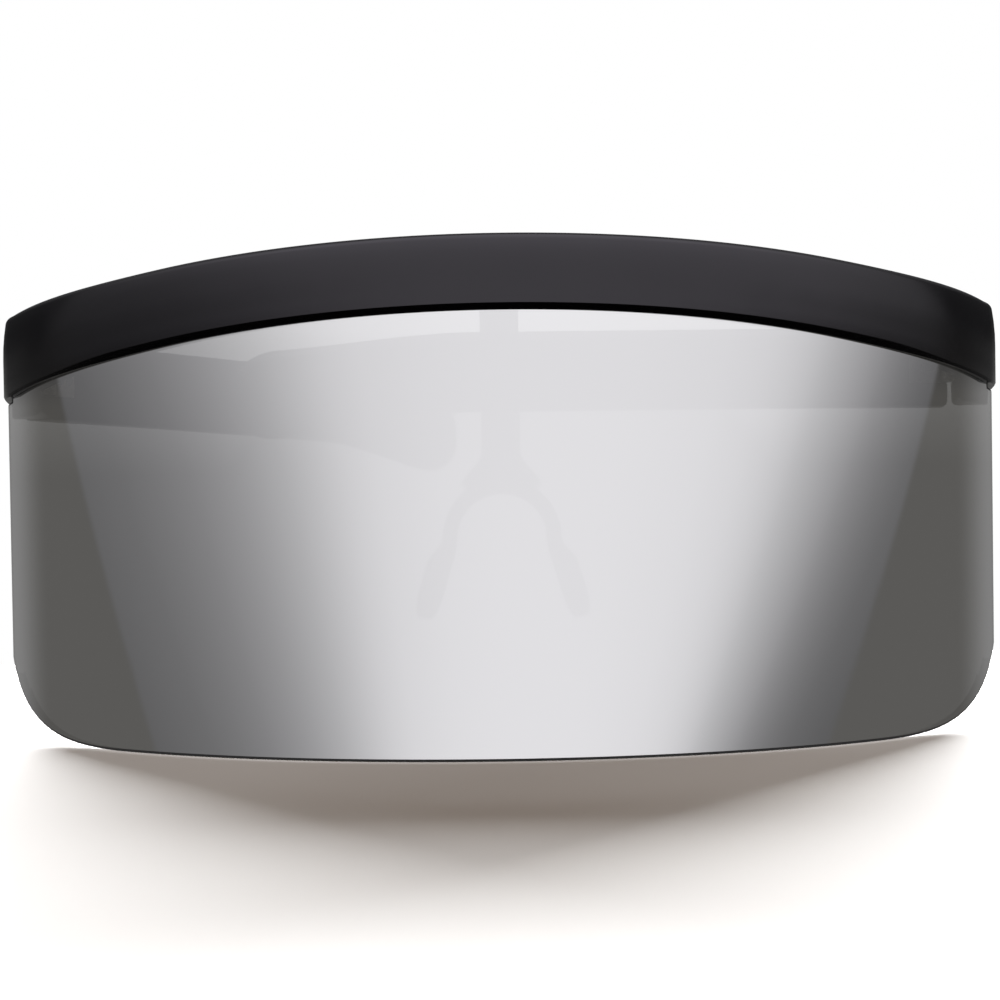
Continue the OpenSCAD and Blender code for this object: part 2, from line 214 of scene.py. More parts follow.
def place(piece, matrix):
    """Moves a piece's points, and turns its faces outwards again if it is mirrored."""
    piece.data.transform(matrix)
    if matrix.determinant() < 0:
        select_only(piece)
        bpy.ops.object.mode_set(mode="EDIT")
        bpy.ops.mesh.select_all(action="SELECT")
        bpy.ops.mesh.flip_normals()
        bpy.ops.object.mode_set(mode="OBJECT")


def leaf_room(side, way, fold=0):
    """Cutters for the pocket of a leaf and the round room of the knuckles."""
    far = leaf_l + pocket_gap
    half = hinge_h / 2 + pocket_gap
    front, back = (-far, 0) if way < 0 else (0, far)
    overrun = 2 * mm
    pocket = box_between(
        "pocket", (hinge_inset - overrun, front, -half), (hinge_inset + leaf_t, back, half))
    relief = rod("relief", knuckle_r + knuckle_room, -half - knuckle_room, half + screw_head_room)
    for tool in (pocket, relief):
        place(tool, at_hinge(side, fold))
    return pocket, relief


def smooth(piece, degrees=32):
    select_only(piece)
    bpy.ops.object.shade_smooth_by_angle(angle=math.radians(degrees))


def edge_height(z, slope, y):
    """Height of an edge that slopes down from its middle height towards the temples."""
    return z - (y - bar_front_y) * slope


def ease(share):
    """A smooth rise from 0 to 1."""
    share = min(1, max(0, share))
    return share * share * (3 - 2 * share)


def end_lift(y):
    """How far the bar's edges flatten out towards its ends."""
    return bar_lift * ease((y - lift_y[0]) / (lift_y[1] - lift_y[0]))


# The bar's outer face follows the wrap, bends round a 10 mm radius at each end
# and runs straight back to the temple, where its edges fall less. The lower
# front edge is cut away as a lip in front of the lens, which narrows towards
# the ends.
wrap_steps, bend_steps, end_steps = 60, 12, 4
bend_start = math.asin((bar_end_x - bar_end_bend) / (bar_out_r - bar_end_bend))
bend_x = bar_end_x - bar_end_bend
bend_y = wrap_y - (bar_out_r - bar_end_bend) * math.cos(bend_start)


def outward(turn):
    """The direction that is turned so far round from the front, seen from above."""
    return Vector((math.sin(turn), -math.cos(turn)))


bar_path = []
for step in range(wrap_steps + 1):
    turn = bend_start * step / wrap_steps
    bar_path.append((turn, outward(turn) * bar_out_r + Vector((0, wrap_y))))
for step in range(1, bend_steps + 1):
    turn = bend_start + (math.pi / 2 - bend_start) * step / bend_steps
    bar_path.append((turn, outward(turn) * bar_end_bend + Vector((bend_x, bend_y))))
for step in range(1, end_steps + 1):
    end_y = bend_y + (hinge.y + bar_past_hinge - bend_y) * step / end_steps
    bar_path.append((math.pi / 2, Vector((bar_end_x, end_y))))
bar_path = [(-turn, Vector((-point.x, point.y))) for turn, point in reversed(bar_path[1:])] + bar_path

bar_half_t = (bar_out_r - bar_in_r) / 2
bend_front_y = wrap_y - bar_out_r * math.cos(bend_start)
bar_rings = []
for turn, outer in bar_path:
    out = outward(turn)
    middle = outer - out * bar_half_t
    fall_y = min(outer.y, bend_front_y) + max(0, outer.y - bend_front_y) * bar_end_fall
    low = edge_height(bar_low_z, bar_low_slope, fall_y) + end_lift(outer.y)
    high = edge_height(bar_top_z, bar_top_slope, fall_y) + end_lift(outer.y)
    half_h = (high - low) / 2
    lip = 1 - lip_fade * ease((outer.y - lip_y[0]) / (lip_y[1] - lip_y[0]))
    corners = [
        (bar_half_t, half_h, bar_corner), (-bar_half_t, half_h, bar_corner),
        (-bar_half_t, -half_h, bar_corner), (bar_half_t - lip_in * lip, -half_h, lip_low_corner),
        (bar_half_t, lip_h * lip - half_h, lip_face_corner * lip)]
    ring = []
    for a, b in section(corners):
        crown = bar_crown * (max(0, b) / half_h) ** 2 * max(0, a / bar_half_t)
        at = middle + out * (a - crown)
        ring.append((at.x, at.y, (low + high) / 2 + b))
    bar_rings.append(ring)
brow_bar = moulded_tube("brow_bar_moulding", bar_rings)

# A lug stands behind each end, cut off just inside the round of the groove.
cut_low, cut_high = 30 * mm, 100 * mm
groove_clearance = 0.05 * mm
for side in (1, -1):
    lug = box_between(
        "lug", (hinge_inset - lug_in, -lug_l, -temple_h / 2),
        (bar_end_x - hinge.x - lug_out, bar_past_hinge, temple_h / 2),
        lug_corner)
    place(lug, at_hinge(side))
    inside = rod(
        "inside", groove_in_r - groove_clearance, cut_low, cut_high, (0, wrap_y), sides=360)
    carve(lug, inside, "INTERSECT")
    carve(brow_bar, lug, "UNION")

# The groove for the lens follows the wrap, and its roof slopes with the bar.
groove_corners = (
    (groove_out_r, "low"), (groove_out_r, "high"), (groove_in_r, "high"), (groove_in_r, "low"),
    (groove_out_r, "low"))
groove = []
for step in range(-wrap_steps, wrap_steps + 1):
    turn = groove_half * step / wrap_steps
    ring = []
    for radius, end in groove_corners:
        x, y = radius * math.sin(turn), wrap_y - radius * math.cos(turn)
        ring.append((x, y, edge_height(groove_top_z, groove_slope, y) if end == "high" else cut_low))
    groove.append(ring)
carve(brow_bar, moulded_tube("groove", groove))

# Each end takes the pocket of its leaf, and is cut off square half of the butt's
# gap before the hinge's axis.
cut_wide, cut_tall = 20 * mm, 30 * mm
for side in (1, -1):
    for tool in leaf_room(side, -1):
        carve(brow_bar, tool)
    behind = box_between(
        "behind", (-cut_wide, -butt_gap / 2, -cut_tall), (cut_wide, cut_wide, cut_tall))
    place(behind, at_hinge(side))
    carve(brow_bar, behind)
smooth(brow_bar)


def colour(code):
    """An sRGB hex colour as the linear one that a shader takes."""
    parts = [int(code[i:i + 2], 16) / 255 for i in (1, 3, 5)]
    return (*(p / 12.92 if p <= 0.04045 else ((p + 0.055) / 1.055) ** 2.4 for p in parts), 1)


def add_node(tree, kind, inputs={}, **settings):
    """Adds a node with its settings. An input takes a value, or the socket that feeds it."""
    made = tree.nodes.new(kind)
    for name, value in settings.items():
        setattr(made, name, value)
    for name, value in inputs.items():
        if isinstance(value, bpy.types.NodeSocket):
            tree.links.new(value, made.inputs[name])
        else:
            made.inputs[name].default_value = value
    return made


def new_material(name):
    material = bpy.data.materials.new(name)
    material.use_nodes = True
    return material, material.node_tree, material.node_tree.nodes["Principled BSDF"]


# Black nylon with a satin face. The grain of the mould is about 0.1 mm across,
# drawn at 0.3 mm so that it shows, and the gloss drifts a little where the
# melt flowed along the bar.
satin_nylon, tree, shader = new_material("satin_black_nylon")
shader.inputs["Base Color"].default_value = colour("#09080B")
shader.inputs["IOR"].default_value = 1.58
shader.inputs["Specular Tint"].default_value = colour("#F8F2FF")
where = add_node(tree, "ShaderNodeTexCoord").outputs["Object"]
grain = add_node(tree, "ShaderNodeTexNoise", {"Vector": where, "Scale": 1 / (0.3 * mm), "Detail": 2.0})
flow = add_node(tree, "ShaderNodeTexNoise", {"Vector": where, "Scale": 1 / (9 * mm), "Detail": 3.0})
gloss = add_node(tree, "ShaderNodeMapRange", {
    "Value": flow.outputs["Fac"], "From Min": 0.3, "From Max": 0.7, "To Min": 0.17, "To Max": 0.23})
tree.links.new(gloss.outputs["Result"], shader.inputs["Roughness"])
bump = add_node(tree, "ShaderNodeBump", {
    "Height": grain.outputs["Fac"], "Strength": 0.3, "Distance": 0.02 * mm})
tree.links.new(bump.outputs["Normal"], shader.inputs["Normal"])
brow_bar.data.materials.append(satin_nylon)
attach(brow_bar, "front")
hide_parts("brow_bar")


# Shield lens: one sheet of smoke polycarbonate, moulded to the wrap, with a
# silver mirror coating on its front and a bare polished edge. Its top edge
# sits in the bar's groove.
lens_r = 97.3 * mm
lens_t = 2 * mm
lens_half = math.radians(61.3)
lens_bevel = 0.5 * mm
tab_half = math.radians(59.7)
corner_h, corner_run, corner_power = 22 * mm, 28.8 * mm, 2.45
lens_gap = 0.1 * mm
lens_end_y = wrap_y - (lens_r - lens_t) * math.cos(lens_half)
corner_y = lens_end_y - corner_run
corner_turn = math.acos((wrap_y - corner_y) / (lens_r - lens_t / 2))


def lens_bottom(y):
    """Height of the lower edge, which is flat and rises round the corners."""
    share = min(1, max(0, (y - corner_y) / corner_run))
    return corner_h * (1 - (1 - share ** corner_power) ** (1 / corner_power))


# Columns of the sheet, closer towards its ends. Past the groove's end the top
# edge steps down over 1 mm to the bar's lower edge. No column stands so near to
# that step or to the sheet's end that it would narrow the bevel.
middle_steps, corner_steps = 60, 40
bevel_room = 1.3 * lens_bevel
turns = [corner_turn * step / middle_steps for step in range(middle_steps + 1)]
for step in range(1, corner_steps + 1):
    turn = corner_turn + (lens_half - corner_turn) * math.sin(math.pi / 2 * step / corner_steps)
    if step == corner_steps or (lens_half - turn) * lens_r > bevel_room:
        turns.append(turn)
tab_slope = 1 * mm / lens_r
turns = [turn for turn in turns if not -2 * tab_slope < turn - tab_half < 1.1 * tab_slope]
turns = sorted(turns + [tab_half - tab_slope, tab_half])
turns = [-turn for turn in reversed(turns[1:])] + turns
rows = 2
bpy.ops.object.select_all(action="DESELECT")
bpy.ops.mesh.primitive_grid_add(x_subdivisions=len(turns) - 1, y_subdivisions=rows)
lens = bpy.context.object
lens.name = lens.data.name = "lens_shield"
for i, vertex in enumerate(lens.data.vertices):
    turn = turns[i % len(turns)]
    share = i // len(turns) / rows
    x, y = lens_r * math.sin(turn), wrap_y - lens_r * math.cos(turn)
    low = lens_bottom(y)
    if abs(turn) < tab_half - tab_slope / 2:
        high = edge_height(groove_top_z, groove_slope, y) - lens_gap
    else:
        high = edge_height(bar_low_z, bar_low_slope, y) + end_lift(y) - lens_gap
    vertex.co = (x, y, low + (high - low) * share)
select_only(lens)
bpy.ops.object.mode_set(mode="EDIT")
bpy.ops.mesh.select_all(action="SELECT")
bpy.ops.mesh.normals_make_consistent(inside=False)
bpy.ops.object.mode_set(mode="OBJECT")
front_face = lens.data.polygons[len(lens.data.polygons) // 2]
if front_face.normal.y > 0:
    bpy.ops.object.mode_set(mode="EDIT")
    bpy.ops.mesh.flip_normals()
    bpy.ops.object.mode_set(mode="OBJECT")
use_modifier(lens, "SOLIDIFY", thickness=lens_t, offset=-1)
use_modifier(
    lens, "BEVEL", width=lens_bevel, segments=3, limit_method="ANGLE", angle_limit=math.radians(50))

# Silver mirror: a thin vacuum coating that lets about a tenth of the light
# through with the smoke sheet behind it. It has a trace of blue.
mirror, tree, shader = new_material("silver_mirror_coating")
shader.inputs["Base Color"].default_value = colour("#EDECEF")
shader.inputs["Metallic"].default_value = 1.0
shader.inputs["Roughness"].default_value = 0.03
shader.inputs["Alpha"].default_value = 0.86

# Smoke polycarbonate: glossy, clear and grey, so the sheet darkens what is
# behind it. Light crosses more of it at the edge, which reads as a dark line.
smoke, tree, shader = new_material("smoke_polycarbonate")
shader.inputs["Base Color"].default_value = colour("#1C1D20")
shader.inputs["Roughness"].default_value = 0.06
shader.inputs["IOR"].default_value = 1.58
shader.inputs["Alpha"].default_value = 0.3
edge_smoke, tree, shader = new_material("smoke_polycarbonate_edge")
shader.inputs["Base Color"].default_value = colour("#3A3033")
shader.inputs["Roughness"].default_value = 0.2
shader.inputs["IOR"].default_value = 1.58
shader.inputs["Alpha"].default_value = 0.76
for material in (mirror, smoke, edge_smoke):
    lens.data.materials.append(material)

# The coating ends at the bevel. The rim round it is bare, and so is the back.
coated_facing, rim_facing, rim_level = 0.97, 0.05, 0.5
coated_depth = 0.1 * mm
for face in lens.data.polygons:
    out = Vector((face.center.x, face.center.y - wrap_y))
    facing = face.normal.xy.dot(out.normalized())
    if facing > coated_facing and out.length > lens_r - coated_depth:
        face.material_index = 0
    elif facing > rim_facing or abs(face.normal.z) > rim_level:
        face.material_index = 2
    else:
        face.material_index = 1
smooth(lens, 40)
use_modifier(lens, "WEIGHTED_NORMAL", weight=100, keep_sharp=True)
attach(lens, "front")
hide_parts("shield_lens")


# Nose bridge: one moulding of clear smoke nylon, a stem that hangs behind the
# lens from two screws in the bar, an arch, and a pad either side of the nose.
stem_y = 3.3 * mm
stem_w, stem_t = 6.2 * mm, 1.8 * mm
stem_corner, stem_edge = 1.2 * mm, 0.55 * mm
stem_flare, stem_flare_share = 1.1, 1 / 7
stem_top_z, arch_z = 81.86 * mm, 35.4 * mm
arch_mid_r = 8.4 * mm
pad_t, pad_depth = 2.4 * mm, 9 * mm
pad_reach = 13.3 * mm
pad_lean, pad_splay = math.radians(17), math.radians(15)
pad_round = 1.0 * mm
pad_end_depth = 0.4 * mm
most_round = 0.9

# Half of the saddle as stations (centre, turn, splay, depth): round the arch
# from its top, then down the pad, which leans and splays out over its first
# third and has a round end.
arch_steps, pad_steps = 24, 40
saddle_half = []
for step in range(arch_steps + 1):
    turn = math.pi / 2 * step / arch_steps
    centre = Vector((arch_mid_r * math.sin(turn), 0, arch_z + arch_mid_r * math.cos(turn)))
    saddle_half.append((centre, turn, 0, pad_depth))
place_now = saddle_half[-1][0]
for step in range(1, pad_steps + 1):
    share = math.sin(math.pi / 2 * step / pad_steps)
    before = math.sin(math.pi / 2 * (step - 1) / pad_steps)
    bend = ease(share * 3)
    lean = pad_lean * bend
    down = Matrix.Rotation(-pad_splay * bend, 3, "Z") @ Vector((math.sin(lean), 0, -math.cos(lean)))
    place_now = place_now + down * pad_reach * (share - before)
    left = pad_reach * (1 - share)
    round_r = pad_depth / 2
    depth = 2 * math.sqrt(max(round_r ** 2 - max(0, round_r - left) ** 2, pad_end_depth ** 2))
    saddle_half.append((place_now, math.pi / 2 - pad_lean * bend, pad_splay * bend, depth))
saddle_rings = []
for mirror_x, stations in ((-1, saddle_half[:0:-1]), (1, saddle_half)):
    for centre, turn, splay, depth in stations:
        normal = Vector((math.sin(turn), 0, math.cos(turn)))
        back = Vector((0, 1, 0))
        spin = Matrix.Rotation(-splay, 3, "Z")
        normal, back = spin @ normal, spin @ back
        ring = []
        for a, b in rounded_box(pad_t / 2, depth / 2, min(pad_round, depth / 2 * most_round)):
            at = centre + normal * a + back * (b + pad_depth / 2)
            ring.append((mirror_x * at.x, at.y + stem_y, at.z))
        saddle_rings.append(ring)
saddle = moulded_tube("nose_saddle", saddle_rings)

# The stem rises from the arch, where it flares, to its round-cornered top.
stem_steps = 48
stem_rings = []
for step in range(stem_steps + 1):
    share = step / stem_steps
    z = arch_z + arch_mid_r + (stem_top_z - arch_z - arch_mid_r) * share
    flare = 1 + stem_flare * ease(1 - share / stem_flare_share)
    end = stem_top_z - z
    narrow = stem_corner - math.sqrt(stem_corner ** 2 - (stem_corner - min(end, stem_corner)) ** 2)
    ring = []
    for a, b in rounded_box(stem_w / 2 * flare - narrow, stem_t / 2, stem_edge, flats=3):
        ring.append((a, stem_y + stem_t / 2 + b, z))
    stem_rings.append(ring)
stem = moulded_tube("stem", stem_rings)
carve(saddle, stem, "UNION")

# A fine remesh and smoothing round off the joint, as in one moulding.
use_modifier(saddle, "REMESH", mode="VOXEL", voxel_size=0.28 * mm)
use_modifier(saddle, "SMOOTH", factor=0.5, iterations=6)
smooth(saddle, 60)

# Smoke nylon: moulded clear and glossy, a dark grey with soft cloudy flow
# inside.
smoke_nylon, tree, shader = new_material("smoke_nylon")
shader.inputs["Roughness"].default_value = 0.16
shader.inputs["IOR"].default_value = 1.53
shader.inputs["Alpha"].default_value = 0.72
where = add_node(tree, "ShaderNodeTexCoord").outputs["Object"]
cloud = add_node(tree, "ShaderNodeTexNoise", {"Vector": where, "Scale": 1 / (4 * mm), "Detail": 3.0})
tone = add_node(tree, "ShaderNodeMix", {
    "Factor": cloud.outputs["Fac"], "A": colour("#1E1E21"), "B": colour("#34353A")}, data_type="RGBA")
tree.links.new(tone.outputs["Result"], shader.inputs["Base Color"])
saddle.data.materials.append(smoke_nylon)
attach(saddle, "front")
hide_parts("nose_bridge")


# Temples: flat arms of the same black nylon, thick where they butt against
# the bar, thinner behind, with a slight drop and swell at the ear. The pocket
# for the hinge leaf is moulded into the inner face.
temple_l = 125.8 * mm
temple_straight = 82 * mm
temple_butt_t, temple_t, temple_tip_t = 6.4 * mm, 4.2 * mm, 3.4 * mm
ear_drop, tip_swell = 4 * mm, 1.6 * mm
tip_run = 0.62 * temple_h
tip_start = temple_l - tip_run
tip_fall, tip_thinning = 0.15, 0.8
tip_turn = math.radians(88)
temple_edge = 1.3 * mm
butt_edge, butt_run = 0.7 * mm, 2 * mm
temple_thin = 0.05 * mm

# How much of the butt's extra thickness is left, at shares of the length
plan_shares = [(0, 1), (0.06, 0.85), (0.2, 0.2), (0.32, 0)]


def temple_thickness(y):
    """Thickness of the arm at a distance from its hinge."""
    share = y / temple_l
    extra = temple_butt_t - temple_t
    for (start, high), (end, low) in zip(plan_shares, plan_shares[1:]):
        if share <= end:
            return temple_t + extra * (high + (low - high) * (share - start) / (end - start))
    start = plan_shares[-1][0]
    return temple_t + (temple_tip_t - temple_t) * (share - start) / (1 - start)


def temple_line(y):
    """Middle height and half height of the arm at a distance from its hinge."""
    share = ease((min(y, tip_start) - temple_straight) / (temple_l - temple_straight))
    middle, half = -ear_drop * share, (temple_h + tip_swell * share) / 2
    if y > tip_start:
        tip = (y - tip_start) / tip_run
        middle -= ear_drop * tip_fall * tip
        half *= math.sqrt(max(1 - tip * tip, 0))
    return middle, half


def end_inset(distance, radius):
    """How far a section draws in near an end that is rounded."""
    short = max(0, radius - distance)
    return radius - math.sqrt(radius * radius - short * short)


# Stations along an arm: round the butt's edge, along the arm and round the tip,
# where the last one stops short of the end so that it keeps some height.
butt_steps, arm_steps, tip_steps = 5, 90, 24
temple_ys = []
for step in range(butt_steps + 1):
    temple_ys.append(butt_gap / 2 + butt_edge * (1 - math.cos(math.pi / 2 * step / butt_steps)))
for step in range(arm_steps + 1):
    temple_ys.append(butt_run + (tip_start - butt_run) * step / arm_steps)
for step in range(1, tip_steps + 1):
    temple_ys.append(tip_start + tip_run * math.sin(tip_turn * step / tip_steps))


def temple_arm(name, side, fold):
    """An arm with the pocket for its leaf, turned away from open by its fold."""
    rings = []
    for y in temple_ys:
        middle, half = temple_line(y)
        thick = temple_thickness(y)
        butt_inset = end_inset(y - butt_gap / 2, butt_edge)
        inset = butt_inset + end_inset(temple_l - y, temple_edge) * tip_thinning
        half_t, half_h = thick / 2 - inset, max(half - butt_inset, temple_thin)
        ring = []
        radius = min(temple_edge, half_t * most_round, half_h * most_round)
        for a, b in rounded_box(half_t, half_h, radius):
            ring.append((hinge_inset + thick / 2 + a, y, middle + b))
        rings.append(ring)
    arm = moulded_tube(name, rings)
    place(arm, at_hinge(side, fold))
    for tool in leaf_room(side, 1, fold):
        carve(arm, tool)
    smooth(arm)
    arm.data.materials.append(satin_nylon)
    return arm


# At rest the left arm is folded and the right one is 34 degrees from open.
for side, word, fold in ((1, "left", 92.5), (-1, "right", 34)):
    arm = temple_arm(word + "_temple_arm", side, fold)
    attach(arm, word + "_temple")
    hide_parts(word + "_temple")


# Hinge leaves: stamped from nickel silver sheet with the knuckles rolled at the
# edge, and screwed down in their pockets. The metal is a warm grey, brushed
# along the plate.
nickel_silver, tree, shader = new_material("nickel_silver_stamped")
shader.inputs["Metallic"].default_value = 1.0
where = add_node(tree, "ShaderNodeTexCoord").outputs["Object"]
stretch = add_node(tree, "ShaderNodeMapping", {"Vector": where, "Scale": (1, 0.08, 1)})
brushing = add_node(tree, "ShaderNodeTexNoise", {
    "Vector": stretch.outputs["Vector"], "Scale": 1 / (0.12 * mm), "Detail": 3.0})
tone = add_node(tree, "ShaderNodeMix", {
    "Factor": brushing.outputs["Fac"], "A": colour("#A8A49C"), "B": colour("#CFCBC2")}, data_type="RGBA")
tree.links.new(tone.outputs["Result"], shader.inputs["Base Color"])
gloss = add_node(tree, "ShaderNodeMapRange", {
    "Value": brushing.outputs["Fac"], "To Min": 0.24, "To Max": 0.42})
tree.links.new(gloss.outputs["Result"], shader.inputs["Roughness"])

# Screws: turned from stainless steel rod, which leaves faint marks, and brighter
# and cooler than the leaves. They hold the leaves and the stem, and each temple
# turns on one.
stainless, tree, shader = new_material("stainless_steel_turned")
shader.inputs["Metallic"].default_value = 1.0
where = add_node(tree, "ShaderNodeTexCoord").outputs["Object"]
marks = add_node(tree, "ShaderNodeTexNoise", {"Vector": where, "Scale": 1 / (0.15 * mm), "Detail": 2.0})
tone = add_node(tree, "ShaderNodeMix", {
    "Factor": marks.outputs["Fac"], "A": colour("#B4B5B6"), "B": colour("#D6D7D8")}, data_type="RGBA")
tree.links.new(tone.outputs["Result"], shader.inputs["Base Color"])
gloss = add_node(tree, "ShaderNodeMapRange", {
    "Value": marks.outputs["Fac"], "To Min": 0.18, "To Max": 0.32})
tree.links.new(gloss.outputs["Result"], shader.inputs["Roughness"])

for name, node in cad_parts.items():
    if name.endswith("_leaf"):
        node.material_slots[0].material = nickel_silver
    elif name.endswith(("_screw", "_screws")):
        node.material_slots[0].material = stainless


# Floor: matt white board, just under the lens's bottom edge. The camera sees
# it brighter than it lights the glasses, white with the shadow that falls
# forward, which a faint warm glow lifts as painted fill light. Through the
# lens it is a plain grey glow, a painted shadow of the glasses. The mirror
# has the studio instead.
floor_gain = 3.8
floor_drop = 0.05 * mm
floor_middle_y, floor_width, floor_depth = -300 * mm, 3000 * mm, 2000 * mm
bpy.ops.object.select_all(action="DESELECT")
bpy.ops.mesh.primitive_plane_add(
    size=1, location=(0, floor_middle_y, -floor_drop), scale=(floor_width, floor_depth, 1))
floor = bpy.context.object
floor.name = "floor"
floor.visible_glossy = False
white_board, tree, shader = new_material("matt_white_board")
shader.inputs["Base Color"].default_value = colour("#F0EEEB")
shader.inputs["Roughness"].default_value = 0.9
shader.inputs["Specular IOR Level"].default_value = 0.0
path = add_node(tree, "ShaderNodeLightPath")
pale = add_node(tree, "ShaderNodeBsdfDiffuse", {"Color": (floor_gain, floor_gain, floor_gain, 1)})
# A faint warm glow on the floor, painted fill light, lifts its shadow to a warm grey.
lift = add_node(tree, "ShaderNodeEmission", {"Color": colour("#FFB33F"), "Strength": 0.06})
pale = add_node(tree, "ShaderNodeAddShader", {0: pale.outputs[0], 1: lift.outputs[0]})
shown = add_node(tree, "ShaderNodeMixShader", {
    0: path.outputs["Is Camera Ray"], 1: shader.outputs[0], 2: pale.outputs[0]})
# Seen through the lens the floor is a plain grey glow, a painted shadow of the glasses.
painted_shadow_behind_lens = add_node(tree, "ShaderNodeEmission", {"Color": colour("#FFFFFF"), "Strength": 0.3})
through = add_node(tree, "ShaderNodeMath", {
    0: path.outputs["Transparent Depth"], 1: 0.5}, operation="GREATER_THAN")
whole = add_node(tree, "ShaderNodeMixShader", {
    0: through.outputs[0], 1: shown.outputs[0], 2: painted_shadow_behind_lens.outputs[0]})
tree.links.new(whole.outputs[0], tree.nodes["Material Output"].inputs["Surface"])
floor.data.materials.append(white_board)
floor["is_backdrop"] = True

# Lamps: one large soft panel high behind the glasses and a smaller one low at
# each side of it, which throw their shadow forward. Each has its degrees round
# from the front, degrees up, distance, width and height in metres, and watts.
lamps = (
    ("key_lamp", 180, 35, 1.75, 1.54, 1.03, 9.7),
    ("left_lamp", 159.6, 16, 1.1, 0.39, 0.385, 11),
    ("right_lamp", 199.2, 16, 1.1, 0.39, 0.385, 8.4))
for name, azimuth, height, distance, width, tall, power in lamps:
    turn, rise = math.radians(azimuth), math.radians(height)
    away = Vector((*outward(turn), math.tan(rise))).normalized()
    bpy.ops.object.light_add(type="AREA", location=view_target + away * distance)
    lamp = bpy.context.object
    lamp.name = name
    lamp.data.shape = "RECTANGLE"
    lamp.data.size, lamp.data.size_y = width, tall
    lamp.data.energy = power
    lamp.rotation_euler = away.to_track_quat("Z", "Y").to_euler()
    lamp.visible_camera = lamp.visible_glossy = lamp.visible_transmission = False

# Studio: white all round for the camera. What polished faces mirror is a
# bright front panel that falls off to both sides, dark wings beyond a slanted
# edge, a grey back wall and a soft overhead light.
world = bpy.data.worlds.new("studio")
bpy.context.scene.world = world
world.use_nodes = True
tree = world.node_tree
tree.nodes.clear()

# Angles are in degrees, round from the front towards +X and up from level. The
# lens mirrors little beyond these two rises.
low_end, high_end = -7.0, 3.0
where = add_node(tree, "ShaderNodeTexCoord").outputs["Generated"]
axes = add_node(tree, "ShaderNodeSeparateXYZ", {0: where})
toward = add_node(tree, "ShaderNodeMath", {0: axes.outputs["Y"], 1: -1.0}, operation="MULTIPLY")
azimuth = add_node(tree, "ShaderNodeMath", {
    0: axes.outputs["X"], 1: toward.outputs[0]}, operation="ARCTAN2")
azimuth = add_node(tree, "ShaderNodeMath", {0: azimuth.outputs[0]}, operation="DEGREES")
side_turn = add_node(tree, "ShaderNodeMath", {0: azimuth.outputs[0]}, operation="ABSOLUTE")
rise = add_node(tree, "ShaderNodeMath", {0: axes.outputs["Z"]}, operation="ARCSINE")
rise = add_node(tree, "ShaderNodeMath", {0: rise.outputs[0]}, operation="DEGREES")
low_rise = add_node(tree, "ShaderNodeMath", {0: rise.outputs[0], 1: 0.0}, operation="MINIMUM")
is_right = add_node(tree, "ShaderNodeMath", {0: azimuth.outputs[0], 1: 0.0}, operation="GREATER_THAN")

# The panel's half-bright edge, in degrees round from the front, which draws in
# towards the floor.
left_edge = add_node(tree, "ShaderNodeMapRange", {
    "Value": rise.outputs[0], "From Min": low_end, "From Max": high_end,
    "To Min": 31.8, "To Max": 57.8})
upper_edge = add_node(tree, "ShaderNodeMapRange", {
    "Value": rise.outputs[0], "From Min": low_end, "From Max": high_end,
    "To Min": 24.7, "To Max": 63.7})
left_edge = add_node(tree, "ShaderNodeMath", {
    0: left_edge.outputs["Result"], 1: upper_edge.outputs["Result"]}, operation="MAXIMUM")
right_edge = add_node(tree, "ShaderNodeMapRange", {
    "Value": rise.outputs[0], "From Min": low_end, "From Max": high_end,
    "To Min": 40.2, "To Max": 92.4})
panel_edge = add_node(tree, "ShaderNodeMix", {
    "Factor": is_right.outputs[0], "A": left_edge.outputs[0], "B": right_edge.outputs["Result"]})
along = add_node(tree, "ShaderNodeMath", {
    0: azimuth.outputs[0], 1: panel_edge.outputs["Result"]}, operation="DIVIDE")

# The panel's brightness at multiples of the way to that edge
panel_reach = 3.0
along = add_node(tree, "ShaderNodeMapRange", {
    "Value": along.outputs[0], "From Min": -panel_reach, "From Max": panel_reach})
panel = add_node(tree, "ShaderNodeValToRGB", {"Fac": along.outputs["Result"]})
panel_stops = [
    (-3.0, 0.09), (-2.3, 0.115), (-1.9, 0.163), (-1.68, 0.204), (-1.49, 0.259), (-1.36, 0.313),
    (-1.24, 0.367), (-1.115, 0.449), (-1.0, 0.531), (-0.905, 0.612), (-0.8, 0.707), (-0.69, 0.803),
    (-0.55, 0.884), (-0.3, 0.955), (0.0, 0.985), (0.35, 0.99), (0.61, 0.939), (0.735, 0.884),
    (0.822, 0.803), (0.89, 0.707), (0.942, 0.612), (1.0, 0.531), (1.06, 0.449), (1.12, 0.367),
    (1.16, 0.313), (1.22, 0.255), (1.3, 0.195), (1.4, 0.15), (1.6, 0.1)]
ramp = panel.color_ramp
ramp.interpolation = "B_SPLINE"
while len(ramp.elements) < len(panel_stops):
    ramp.elements.new(0.5)
for element, (at, level) in zip(ramp.elements, panel_stops):
    element.position = (at + panel_reach) / (2 * panel_reach)
    element.color = (level, level, level, 1)

# The wings' slanted edges, and the back wall that the lens's ends mirror
wing_edge = add_node(tree, "ShaderNodeMix", {"Factor": is_right.outputs[0], "A": 107.6, "B": 106.4})
wing_slant = add_node(tree, "ShaderNodeMix", {"Factor": is_right.outputs[0], "A": 4.64, "B": 5.5})
wing_edge = add_node(tree, "ShaderNodeMath", {
    0: low_rise.outputs[0], 1: wing_slant.outputs["Result"], 2: wing_edge.outputs["Result"]},
    operation="MULTIPLY_ADD")
past_wing = add_node(tree, "ShaderNodeMath", {
    0: side_turn.outputs[0], 1: wing_edge.outputs[0]}, operation="SUBTRACT")
wing_blur = 0.8
past_wing = add_node(tree, "ShaderNodeMapRange", {
    "Value": past_wing.outputs[0], "From Min": -wing_blur, "From Max": wing_blur})
winged = add_node(tree, "ShaderNodeMix", {
    "Factor": past_wing.outputs["Result"], "A": panel.outputs["Color"], "B": colour("#595854")},
    data_type="RGBA")
back_wall = add_node(tree, "ShaderNodeMapRange", {
    "Value": side_turn.outputs[0], "From Min": 112.0, "From Max": 130.0}, interpolation_type="SMOOTHSTEP")
